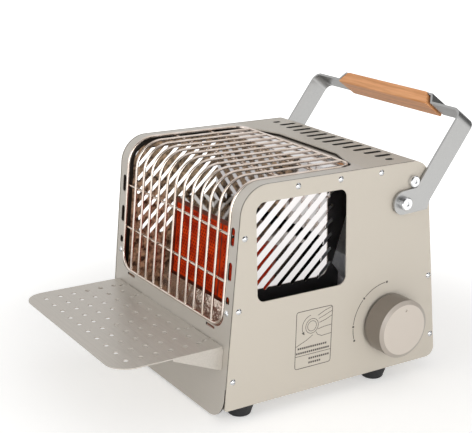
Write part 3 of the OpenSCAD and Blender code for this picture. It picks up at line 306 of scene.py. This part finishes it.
# Ceramic fibre felt round the plaques, scorched to a dull red.
FIBRE = Finish("scorched ceramic fibre felt", "#6E2A1A", 0.95, pattern=Pattern.ORANGE_PEEL, pattern_mm=2.0,
               dark="#5A2013", bump=0.3)
# Turned brass of the jet and pipe: a warm yellow shine.
BRASS = Finish("turned brass", "#CFA253", 0.25, metallic=1.0, pattern_mm=5.0, dark="#BC8F42")
# Die-cast zinc of the valve: grey, with a slightly grainy skin.
DIE_CAST = Finish("die-cast zinc", "#A0A2A4", 0.45, metallic=1.0, pattern_mm=1.5, dark="#929496", bump=0.1)
# Black ferrite: sintered, so nearly black with a dull grain.
FERRITE = Finish("black ferrite magnet", "#2E2E30", 0.5, pattern_mm=1.2, dark="#242426", bump=0.1)
# Glazed insulator of the spark electrode: off-white with sharp highlights.
INSULATOR = Finish("glazed insulator", "#F1ECE3", 0.2, pattern_mm=4.0, dark="#E6DFD2")
# Moulded rubber: nearly black and matt.
RUBBER = Finish("moulded black rubber", "#262628", 0.65, pattern_mm=1.2, dark="#1E1E20", bump=0.2)
# Oiled beech with its grain along the grip.
BEECH = Finish("oiled beech", "#F7B47E", 0.45, pattern=Pattern.GRAIN, pattern_mm=3.0, dark="#DC965C",
               bump=0.08)
# Satin moulded ABS of the knob, as pale as the plates, with painted shade: a darker side, the rim between.
KNOB_ABS_SHADED_SIDE = Finish("moulded ABS with painted side shade", "#D3C9BE", 0.36, pattern=Pattern.ORANGE_PEEL, pattern_mm=0.9,
                  bump=0.05, second=PaintedShadeTone("#837A70", Measure.TO_RIGHT, limit=0.76, soft=0.24))
# Screen-printed ink: flat and dark against the coat.
INK = Finish("dark screen print", "#5F5953", 0.6, pattern_mm=1.0, dark="#544E48")


def dress(finish: Finish, *nodes: str) -> None:
    """Gives CAD nodes a finish.

    Args:
        finish: the finish to use.
        nodes: the nodes' names.
    """
    for name in nodes:
        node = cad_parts[name]
        for entry in node.material_slots:
            entry.material = finish.make()
        if not node.material_slots:
            node.data.materials.append(finish.make())
        LOG.info("%s: %s", name, finish.name)


def add_piece(mesh: bpy.types.Mesh, name: str, finish: Finish) -> None:
    """Puts a finished mesh in the scene, on the housing's body.

    Args:
        mesh: the mesh, in the row frame.
        name: the piece's name.
        finish: its finish.
    """
    mesh.name = name
    mesh.materials.clear()
    mesh.materials.append(finish.make())
    piece = bpy.data.objects.new(name, mesh)
    bpy.context.scene.collection.objects.link(piece)
    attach(piece, "housing")
    LOG.info("%s: %d faces", name, len(mesh.polygons))


def prism_mesh(outlines: Iterable[Sequence[Point]], x_low: float, x_high: float) -> bpy.types.Mesh:
    """Makes flat prisms from Y-Z outlines, for prints and labels on the side plates.

    Args:
        outlines: closed outlines in millimetres, each without holes.
        x_low: X of the face that lies on the plate, in millimetres.
        x_high: X of the outer face.

    Returns:
        One mesh that holds all the prisms.
    """
    shape = bmesh.new()
    for outline in outlines:
        low = [shape.verts.new((x_low * MM, y * MM, z * MM)) for y, z in outline]
        high = [shape.verts.new((x_high * MM, y * MM, z * MM)) for y, z in outline]
        count = len(outline)
        shape.faces.new(high)
        shape.faces.new(low[::-1])
        for i in range(count):
            j = (i + 1) % count
            shape.faces.new((low[i], low[j], high[j], high[i]))
    bmesh.ops.recalc_face_normals(shape, faces=shape.faces)
    mesh = bpy.data.meshes.new("prism")
    shape.to_mesh(mesh)
    shape.free()
    return mesh


def arc_band(mid: Point, radius: float, widths: Point, angles: Point, steps: int) -> list[list[Point]]:
    """Cuts a band along an arc into four-sided pieces.

    Args:
        mid: the arc's centre, Y and Z in millimetres.
        radius: the band's middle radius.
        widths: the band's width at its start and end.
        angles: start and end in degrees, from +Y towards +Z.
        steps: how many pieces.

    Returns:
        The outlines, one per piece.
    """
    edges = []
    for i in range(steps + 1):
        share = i / steps
        angle = math.radians(angles[0] + (angles[1] - angles[0]) * share)
        half = (widths[0] + (widths[1] - widths[0]) * share) / 2
        edges.append([(mid[0] + (radius + side * half) * math.cos(angle),
                       mid[1] + (radius + side * half) * math.sin(angle)) for side in (-1, 1)])
    return [[edges[i][0], edges[i][1], edges[i + 1][1], edges[i + 1][0]] for i in range(steps)]


def round_spot(mid: Point, radius: float, sides: int = 12) -> list[Point]:
    """Returns the outline of a small disc.

    Args:
        mid: its centre, Y and Z in millimetres.
        radius: its radius.
        sides: how many straight sides stand for the circle.

    Returns:
        The outline.
    """
    turns = [2 * math.pi * i / sides for i in range(sides)]
    return [(mid[0] + radius * math.cos(t), mid[1] + radius * math.sin(t)) for t in turns]


def stroke(path: Sequence[Point], width: float) -> list[list[Point]]:
    """Draws a thin line along a path, one four-sided piece per stretch.

    Args:
        path: the line's points, Y and Z in millimetres.
        width: the line's width.

    Returns:
        The outlines, one per stretch.
    """
    pieces = []
    for (y0, z0), (y1, z1) in zip(path, path[1:]):
        length = math.hypot(y1 - y0, z1 - z0)
        off_y, off_z = (z0 - z1) / length * width / 2, (y1 - y0) / length * width / 2
        pieces.append([(y0 + off_y, z0 + off_z), (y0 - off_y, z0 - off_z), (y1 - off_y, z1 - off_z),
                       (y1 + off_y, z1 + off_z)])
    return pieces


class Sower:
    """Sets copies of a small round disc on a grid of points with Geometry Nodes."""

    def __init__(self, name: str) -> None:
        """Builds the tree with its named inputs.

        Args:
            name: the tree's name.
        """
        self.tree = bpy.data.node_groups.new(name, "GeometryNodeTree")
        face = self.tree.interface
        inputs = {"Points": "Geometry", "Radius": "Float", "Depth": "Float", "Sides": "Int",
                  "Finish": "Material"}
        for label, kind in inputs.items():
            face.new_socket(label, in_out="INPUT", socket_type="NodeSocket" + kind)
        face.new_socket("Mesh", in_out="OUTPUT", socket_type="NodeSocketGeometry")
        given = add_node(self.tree, "NodeGroupInput").outputs
        seed_shape = add_node(self.tree, "GeometryNodeMeshCylinder", {
            "Vertices": given["Sides"], "Radius": given["Radius"], "Depth": given["Depth"]})
        sown = add_node(self.tree, "GeometryNodeInstanceOnPoints", {
            "Points": given["Points"], "Instance": seed_shape.outputs["Mesh"]})
        real = add_node(self.tree, "GeometryNodeRealizeInstances", {"Geometry": sown.outputs["Instances"]})
        painted = add_node(self.tree, "GeometryNodeSetMaterial", {
            "Geometry": real.outputs["Geometry"], "Material": given["Finish"]})
        add_node(self.tree, "NodeGroupOutput", {"Mesh": painted.outputs["Geometry"]})

    def sow(self, points: Sequence[Vector], values: dict[str, Any], turn: Matrix) -> bpy.types.Mesh:
        """Makes the plain mesh of all the copies.

        Args:
            points: where the copies go, before the turn, in metres.
            values: the tree's inputs by name.
            turn: moves the finished mesh into the row frame.

        Returns:
            The mesh, in the row frame.
        """
        cloud = bpy.data.meshes.new("points")
        cloud.from_pydata([tuple(p) for p in points], [], [])
        carrier = bpy.data.objects.new("carrier", cloud)
        bpy.context.scene.collection.objects.link(carrier)
        modifier = carrier.modifiers.new("sow", "NODES")
        modifier.node_group = self.tree
        for item in self.tree.interface.items_tree:
            if item.in_out == "INPUT" and item.name in values:
                modifier[item.identifier] = values[item.name]
        shown = carrier.evaluated_get(bpy.context.evaluated_depsgraph_get())
        mesh = bpy.data.meshes.new_from_object(shown)
        carrier.modifiers.remove(modifier)
        bpy.data.objects.remove(carrier)
        mesh.transform(turn)
        return mesh


@dataclass
class Housing:
    """Plates, sheets and what is printed on the right plate.

    Sizes are in millimetres and angles in degrees. Places on the label are shares of its width and height,
    from its upper front corner. A row of blocks has its start, its end and its level.
    """

    plate_x: float = 120.0
    print_t: float = 0.12
    axis: Point = (62.5, 69.5)
    arc_r: float = 43.2
    arc_steps: int = 12
    stops: tuple[float, ...] = (92.0, 135.3, 178.0, 199.3)
    dot_r: float = 1.3
    dot_gap: float = 3.0
    label_mid: Point = (-31.0, 70.5)
    label_size: Point = (45.0, 62.0)
    label_r: float = 3.0
    corner_steps: int = 4
    line: float = 0.7
    thin: float = 0.55
    block: Point = (1.9, 2.0)
    block_pitch: float = 2.6
    ring_at: Point = (0.44, 0.29)
    ring_arcs: tuple[tuple[float, Point], ...] = (
        (7.8, (0.0, 360.0)), (5.4, (0.0, 360.0)), (12.0, (100.0, 205.0)))
    ring_steps: int = 28
    arrow_r: float = 12.0
    arrow_widths: Point = (3.4, 0.2)
    arrow_angles: Point = (205.0, 222.0)
    arrow_steps: int = 3
    hand: tuple[tuple[Point, ...], ...] = (
        ((0.6, 0.13), (0.78, 0.07), (0.985, 0.03)), ((0.62, 0.19), (0.8, 0.15), (0.985, 0.1)),
        ((0.64, 0.26), (0.82, 0.23), (0.985, 0.18)), ((0.6, 0.37), (0.76, 0.35), (0.985, 0.34)),
        ((0.985, 0.49), (0.72, 0.5), (0.6, 0.46), (0.56, 0.41)), ((0.015, 0.6), (0.3, 0.52), (0.47, 0.45)),
        ((0.015, 0.775), (0.985, 0.775)))
    rows: tuple[tuple[float, float, float], ...] = (
        (0.07, 0.9, 0.66), (0.03, 0.97, 0.74), (0.38, 0.96, 0.865), (0.38, 0.78, 0.94))

    def build(self) -> None:
        """Finishes the sheets and prints the dial marks and the pictogram."""
        # The plates' backs and the sheets' sideways faces carry painted shade.
        dress(PLATE_RIGHT, "right_side_plate")
        dress(PLATE_LEFT, "left_side_plate")
        dress(COAT_WITH_SEAM_SHADE, "rear_cover")
        dress(POWDER_COAT, "base_plate", "rear_door", "door_hinge_ears")
        dress(METALLIC_WITH_SEAM_SHADE, "front_top_sheet")
        dress(METALLIC_COAT, "tray_hinge_ears")
        dress(ZINC_SHEET, "valve_bracket", "cartridge_cradle", "tray_hinge_pins", "door_hinge_pins",
              "valve_shaft")
        dress(ALUMINISED, "heat_shield")
        dress(CHROME, "side_screws", "foot_screws", "pivot_bolts", "pivot_bushes", "stop_bolts",
              "grip_screws", "guard_screws")
        dress(RUBBER, "feet")
        dress(DIE_CAST, "valve_body")
        dress(FERRITE, "cartridge_seat", "door_magnet")
        self._dial_marks()
        self._label()

    def _print(self, outlines: list[list[Point]], name: str) -> None:
        """Lays one print on the right plate.

        Args:
            outlines: the print's outlines.
            name: the piece's name.
        """
        mesh = prism_mesh(outlines, self.plate_x, self.plate_x + self.print_t)
        add_piece(mesh, name, INK)

    def _dial_marks(self) -> None:
        """Prints a thin arc with plain dots round the knob."""
        outlines = []
        for start, end in zip(self.stops, self.stops[1:]):
            angles = (start + self.dot_gap, end - self.dot_gap)
            outlines += arc_band(self.axis, self.arc_r, (self.line, self.line), angles, self.arc_steps)
        for angle in self.stops:
            turn = math.radians(angle)
            spot = (self.axis[0] + self.arc_r * math.cos(turn), self.axis[1] + self.arc_r * math.sin(turn))
            outlines.append(round_spot(spot, self.dot_r))
        self._print(outlines, "dial_marks")

    def _label(self) -> None:
        """Prints a frame with a hand on a turning knob and rows of plain blocks."""
        half_y, half_z = self.label_size[0] / 2, self.label_size[1] / 2
        outer = self._rounded(half_y, half_z, self.label_r)
        inner = self._rounded(half_y - self.line, half_z - self.line, self.label_r - self.line)
        count = len(outer)
        lines = [[outer[i], outer[(i + 1) % count], inner[(i + 1) % count], inner[i]] for i in range(count)]
        ring = self._on_label(*self.ring_at)
        for radius, angles in self.ring_arcs:
            lines += arc_band(ring, radius, (self.thin, self.thin), angles, self.ring_steps)
        lines += arc_band(ring, self.arrow_r, self.arrow_widths, self.arrow_angles, self.arrow_steps)
        for path in self.hand:
            lines += stroke([self._on_label(*spot) for spot in path], self.thin)
        for left, right, down in self.rows:
            lines += self._blocks(left, right, down)
        self._print(lines, "label_lines")

    def _on_label(self, across: float, down: float) -> Point:
        """Turns shares of the label's width and height, from its upper front corner, into Y and Z."""
        return (self.label_mid[0] + (across - 0.5) * self.label_size[0],
                self.label_mid[1] + (0.5 - down) * self.label_size[1])

    def _blocks(self, left: float, right: float, down: float) -> list[list[Point]]:
        """Returns one row of small blocks.

        Args:
            left: where the row starts, as a share of the label's width.
            right: where it ends.
            down: the row's place, as a share of the label's height.

        Returns:
            The blocks' outlines.
        """
        start, level = self._on_label(left, down)
        count = int((right - left) * self.label_size[0] / self.block_pitch)
        spots = [start + i * self.block_pitch for i in range(count)]
        return [[(y, level), (y + self.block[0], level), (y + self.block[0], level + self.block[1]),
                 (y, level + self.block[1])] for y in spots]

    def _rounded(self, half_y: float, half_z: float, radius: float) -> list[Point]:
        """Returns a rounded rectangle round the label's middle.

        Args:
            half_y: half its width.
            half_z: half its height.
            radius: its corners' radius.

        Returns:
            The outline's points, in order.
        """
        points = []
        for corner, (sy, sz) in enumerate(((1, 1), (-1, 1), (-1, -1), (1, -1))):
            for step in range(self.corner_steps + 1):
                angle = math.radians(90 * corner + 90 * step / self.corner_steps)
                points.append((self.label_mid[0] + sy * (half_y - radius) + radius * math.cos(angle),
                               self.label_mid[1] + sz * (half_z - radius) + radius * math.sin(angle)))
        return points


@dataclass
class WireGuard:
    """The bent wire guard and the reflectors round the fire, each with its finish."""

    wire: Finish = NICKEL_WIRE
    mirror: Finish = POLISHED_STEEL
    bottom: Finish = STUCCO_STEEL
    # The far cheek's finish carries a painted reflection.
    far_cheek: Finish = CHEEK_PAINTED_REFLECTION

    def build(self) -> None:
        """Finishes the wires and reflectors."""
        dress(self.wire, "guard_frame", "guard_bars", "guard_cross_wires")
        dress(self.mirror, "right_cheek_reflector", "rear_reflector")
        dress(self.bottom, "bottom_reflector")
        dress(self.far_cheek, "left_cheek_reflector")


@dataclass
class Burner:
    """The glowing plaques with their flame ports. Sizes in millimetres, the lean in degrees."""

    lean: float = 4.0
    face: Place = (0.0, -67.34, 122.0)
    plaque: Point = (95.0, 84.0)
    gasket: float = 2.0
    port_d: float = 2.4
    port_pitch: float = 4.2
    port_t: float = 0.1
    port_sides: int = 6
    margin: float = 4.0

    def build(self) -> None:
        """Finishes the burner and sows the flame ports on the plaques."""
        dress(HEAT_TINTED, "burner_box")
        dress(BROWNED_STEEL, "burner_frame")
        dress(ZINC_SHEET, "mixing_tube")
        dress(FIBRE, "plaque_gasket")
        dress(HOT_CERAMIC, "ceramic_plaques")
        dress(BRASS, "gas_jet", "gas_pipe", "thermocouple")
        dress(INSULATOR, "igniter_electrode")
        self._ports()

    def _ports(self) -> None:
        """Sows rows of flame ports over both plaques, in the leaning plane."""
        points = []
        rise = self.port_pitch * math.sqrt(3) / 2
        rows = int((self.plaque[1] - 2 * self.margin) / rise)
        columns = int((self.plaque[0] - 2 * self.margin) / self.port_pitch)
        for side in (-1, 1):
            start = side * (self.gasket / 2 + self.plaque[0] / 2) - columns * self.port_pitch / 2
            for row in range(rows + 1):
                shift = self.port_pitch / 2 if row % 2 else 0.0
                for column in range(columns + (row + 1) % 2):
                    points.append(Vector(((start + column * self.port_pitch + shift) * MM,
                                          (row - rows / 2) * rise * MM, self.port_t / 2 * MM)))
        turn = Matrix.Rotation(math.radians(90 - self.lean), 4, "X")
        values = {"Radius": self.port_d / 2 * MM, "Depth": self.port_t * MM, "Sides": self.port_sides,
                  "Finish": PORT_SHADE.make()}
        mesh = Sower("flame ports").sow(points, values, Matrix.Translation(Vector(self.face) * MM) @ turn)
        add_piece(mesh, "flame_ports", PORT_SHADE)


@dataclass
class Knob:
    """The valve knob with its pale face, painted shade on its side, and its finish."""

    finish: Finish = KNOB_ABS_SHADED_SIDE

    def build(self) -> None:
        """Finishes the knob."""
        dress(self.finish, "knob")


@dataclass
class Handle:
    """The strap handle with its wooden grip, and their finishes."""

    strap: Finish = STRAP_STEEL
    grip: Finish = BEECH

    def build(self) -> None:
        """Finishes the strap and the grip."""
        dress(self.strap, "handle_strap")
        dress(self.grip, "wooden_grip")


@dataclass
class Tray:
    """The perforated tray, and its finish."""

    finish: Finish = METALLIC_COAT

    def build(self) -> None:
        """Finishes the tray."""
        dress(self.finish, "tray")


@dataclass(frozen=True)
class Flag:
    """A black flag that only mirrors see: its direction, its soft edge's cosines and what it leaves."""

    towards: Place
    edge: Point
    left: float


@dataclass(frozen=True)
class Lamp:
    """A soft square lamp: its name, where it hangs, its side length in metres and its power in watts."""

    name: str
    spot: Place
    size: float
    power: float


@dataclass
class Studio:
    """Floor, lights and the camera that was fitted to the photograph.

    Sizes are in metres, angles in degrees and the camera's sensor in millimetres. The paper's own white
    rises from paper_lift to full between paper_near and paper_far from the middle. What mirrors see of it
    rises from side_dim to full between side_from and side_to along X.
    """

    eye: Place = (0.9258, -0.65505, 0.5071)
    azimuth: float = 56.76
    elevation: float = 17.07
    roll: float = 1.24
    focal_px: float = 1099.7
    image_w: int = 472
    sensor: float = 36.0
    nearest: float = 0.05
    floor_size: float = 12.0
    paper: str = "#EDECEA"
    paper_near: float = 0.22
    paper_far: float = 0.7
    paper_lift: float = 0.42
    side_from: float = -0.1
    side_to: float = 0.35
    side_dim: float = 0.35
    room: float = 0.47
    flags: tuple[Flag, ...] = (
        Flag((0.56, -0.45, 0.69), (0.74, 0.9), 0.08),
        Flag((0.1, 0.95, 0.3), (0.8, 0.95), 0.12))
    aim: Place = (0.0, 0.0, 0.12)
    lamps: tuple[Lamp, ...] = (
        Lamp("key", (1.55, -0.45, 0.36), 0.9, 12.5),
        Lamp("fill", (0.2, -1.9, 0.9), 1.4, 7.0),
        Lamp("top", (0.2, -0.2, 1.9), 1.4, 0.8))

    def build(self) -> None:
        """Makes the floor, the world, the lamps and the camera."""
        self._floor()
        self._world()
        for lamp in self.lamps:
            self._hang(lamp)
        self._camera()

    def _floor(self) -> None:
        """Lays pale paper that keeps the shadow near the heater and turns white farther off."""
        bpy.ops.mesh.primitive_plane_add(size=self.floor_size)
        floor = bpy.context.object
        floor.name = "floor"
        material = bpy.data.materials.new("pale studio paper")
        material.use_nodes = True
        tree = material.node_tree
        tree.nodes.clear()
        place = add_node(tree, "ShaderNodeTexCoord").outputs["Object"]
        off = add_node(tree, "ShaderNodeVectorMath", {0: place}, operation="LENGTH").outputs["Value"]
        lift = add_node(tree, "ShaderNodeMapRange", {
            "Value": off, "From Min": self.paper_near, "From Max": self.paper_far,
            "To Min": self.paper_lift, "To Max": 1.0}, interpolation_type="SMOOTHSTEP")
        side = add_node(tree, "ShaderNodeSeparateXYZ", {"Vector": place}).outputs["X"]
        dim = add_node(tree, "ShaderNodeMapRange", {
            "Value": side, "From Min": self.side_from, "From Max": self.side_to,
            "To Min": self.side_dim, "To Max": 1.0}, interpolation_type="SMOOTHSTEP")
        seen = self._seen(tree, dim.outputs[0])
        strength = add_node(tree, "ShaderNodeMath", {0: lift.outputs[0], 1: seen}, operation="MULTIPLY")
        paper = add_node(tree, "ShaderNodeBsdfDiffuse", {"Color": linear(self.paper)})
        white = add_node(tree, "ShaderNodeEmission", {"Strength": strength.outputs[0]})
        both = add_node(tree, "ShaderNodeAddShader", {0: paper.outputs[0], 1: white.outputs[0]})
        add_node(tree, "ShaderNodeOutputMaterial", {"Surface": both.outputs[0]})
        floor.data.materials.append(material)

    def _seen(self, tree: bpy.types.NodeTree,
              mirrored: bpy.types.NodeSocket | float) -> bpy.types.NodeSocket:
        """Adds the test for rays from the camera or from a mirror.

        Args:
            tree: the material's or the world's node tree.
            mirrored: how bright a mirror sees the place.

        Returns:
            The socket that is 1 for camera rays, the given share for mirror rays and 0 for the rest.
        """
        path = add_node(tree, "ShaderNodeLightPath").outputs
        in_mirror = {0: path["Is Glossy Ray"], 1: mirrored}
        mirror = add_node(tree, "ShaderNodeMath", in_mirror, operation="MULTIPLY")
        either = {0: path["Is Camera Ray"], 1: mirror.outputs[0]}
        return add_node(tree, "ShaderNodeMath", either, operation="MAXIMUM").outputs[0]

    def _world(self) -> None:
        """Sets a pale world: white to the camera, white with black flags to mirrors, softer as light."""
        world = bpy.data.worlds.new("studio")
        bpy.context.scene.world = world
        world.use_nodes = True
        tree = world.node_tree
        look = add_node(tree, "ShaderNodeTexCoord").outputs["Generated"]
        shade: bpy.types.NodeSocket | float = 1.0
        for flag in self.flags:
            near = add_node(tree, "ShaderNodeVectorMath", {0: look, 1: flag.towards},
                            operation="DOT_PRODUCT")
            dark = add_node(tree, "ShaderNodeMapRange", {
                "Value": near.outputs["Value"], "From Min": flag.edge[0], "From Max": flag.edge[1],
                "To Min": 1.0, "To Max": flag.left}, interpolation_type="SMOOTHSTEP")
            flagged = add_node(tree, "ShaderNodeMath", {0: shade, 1: dark.outputs[0]}, operation="MULTIPLY")
            shade = flagged.outputs[0]
        seen = self._seen(tree, shade)
        direct = self._seen(tree, 1.0)
        soft = add_node(tree, "ShaderNodeMapRange", {"Value": direct, "To Min": self.room, "To Max": 0.0})
        strength = add_node(tree, "ShaderNodeMath", {0: soft.outputs[0], 1: seen}, operation="ADD")
        back = tree.nodes["Background"]
        back.inputs["Color"].default_value = (1.0, 1.0, 1.0, 1.0)
        tree.links.new(strength.outputs[0], back.inputs["Strength"])
        bpy.context.scene.view_settings.view_transform = "Standard"

    def _hang(self, lamp: Lamp) -> None:
        """Hangs one lamp and points it at the heater.

        Args:
            lamp: the lamp to hang.
        """
        data = bpy.data.lights.new(lamp.name, "AREA")
        data.size = lamp.size
        data.energy = lamp.power
        light = bpy.data.objects.new(lamp.name, data)
        light.location = lamp.spot
        beam = Vector(self.aim) - Vector(lamp.spot)
        light.rotation_euler = beam.to_track_quat("-Z", "Y").to_euler()
        bpy.context.scene.collection.objects.link(light)

    def _camera(self) -> None:
        """Sets the camera by its fitted angles and focal length."""
        az, el, roll = (math.radians(a) for a in (self.azimuth, self.elevation, self.roll))
        back = Vector((math.sin(az) * math.cos(el), -math.cos(az) * math.cos(el), math.sin(el)))
        level = Vector((math.cos(az), math.sin(az), 0.0))
        upright = back.cross(level)
        right = math.cos(roll) * level + math.sin(roll) * upright
        up = -math.sin(roll) * level + math.cos(roll) * upright
        data = bpy.data.cameras.new("camera")
        data.sensor_width = self.sensor
        data.lens = self.focal_px / self.image_w * self.sensor
        data.clip_start = self.nearest
        camera = bpy.data.objects.new("camera", data)
        turn = Matrix((right, up, back)).transposed().to_4x4()
        camera.matrix_world = Matrix.Translation(self.eye) @ turn
        bpy.context.scene.collection.objects.link(camera)
        bpy.context.scene.camera = camera


def main() -> None:
    """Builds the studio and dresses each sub-assembly."""
    logging.basicConfig(level=logging.INFO)
    for part in (Studio(), Housing(), WireGuard(), Burner(), Knob(), Handle(), Tray()):
        LOG.info("building %s", type(part).__name__)
        part.build()


if __name__ == "__main__":
    main()
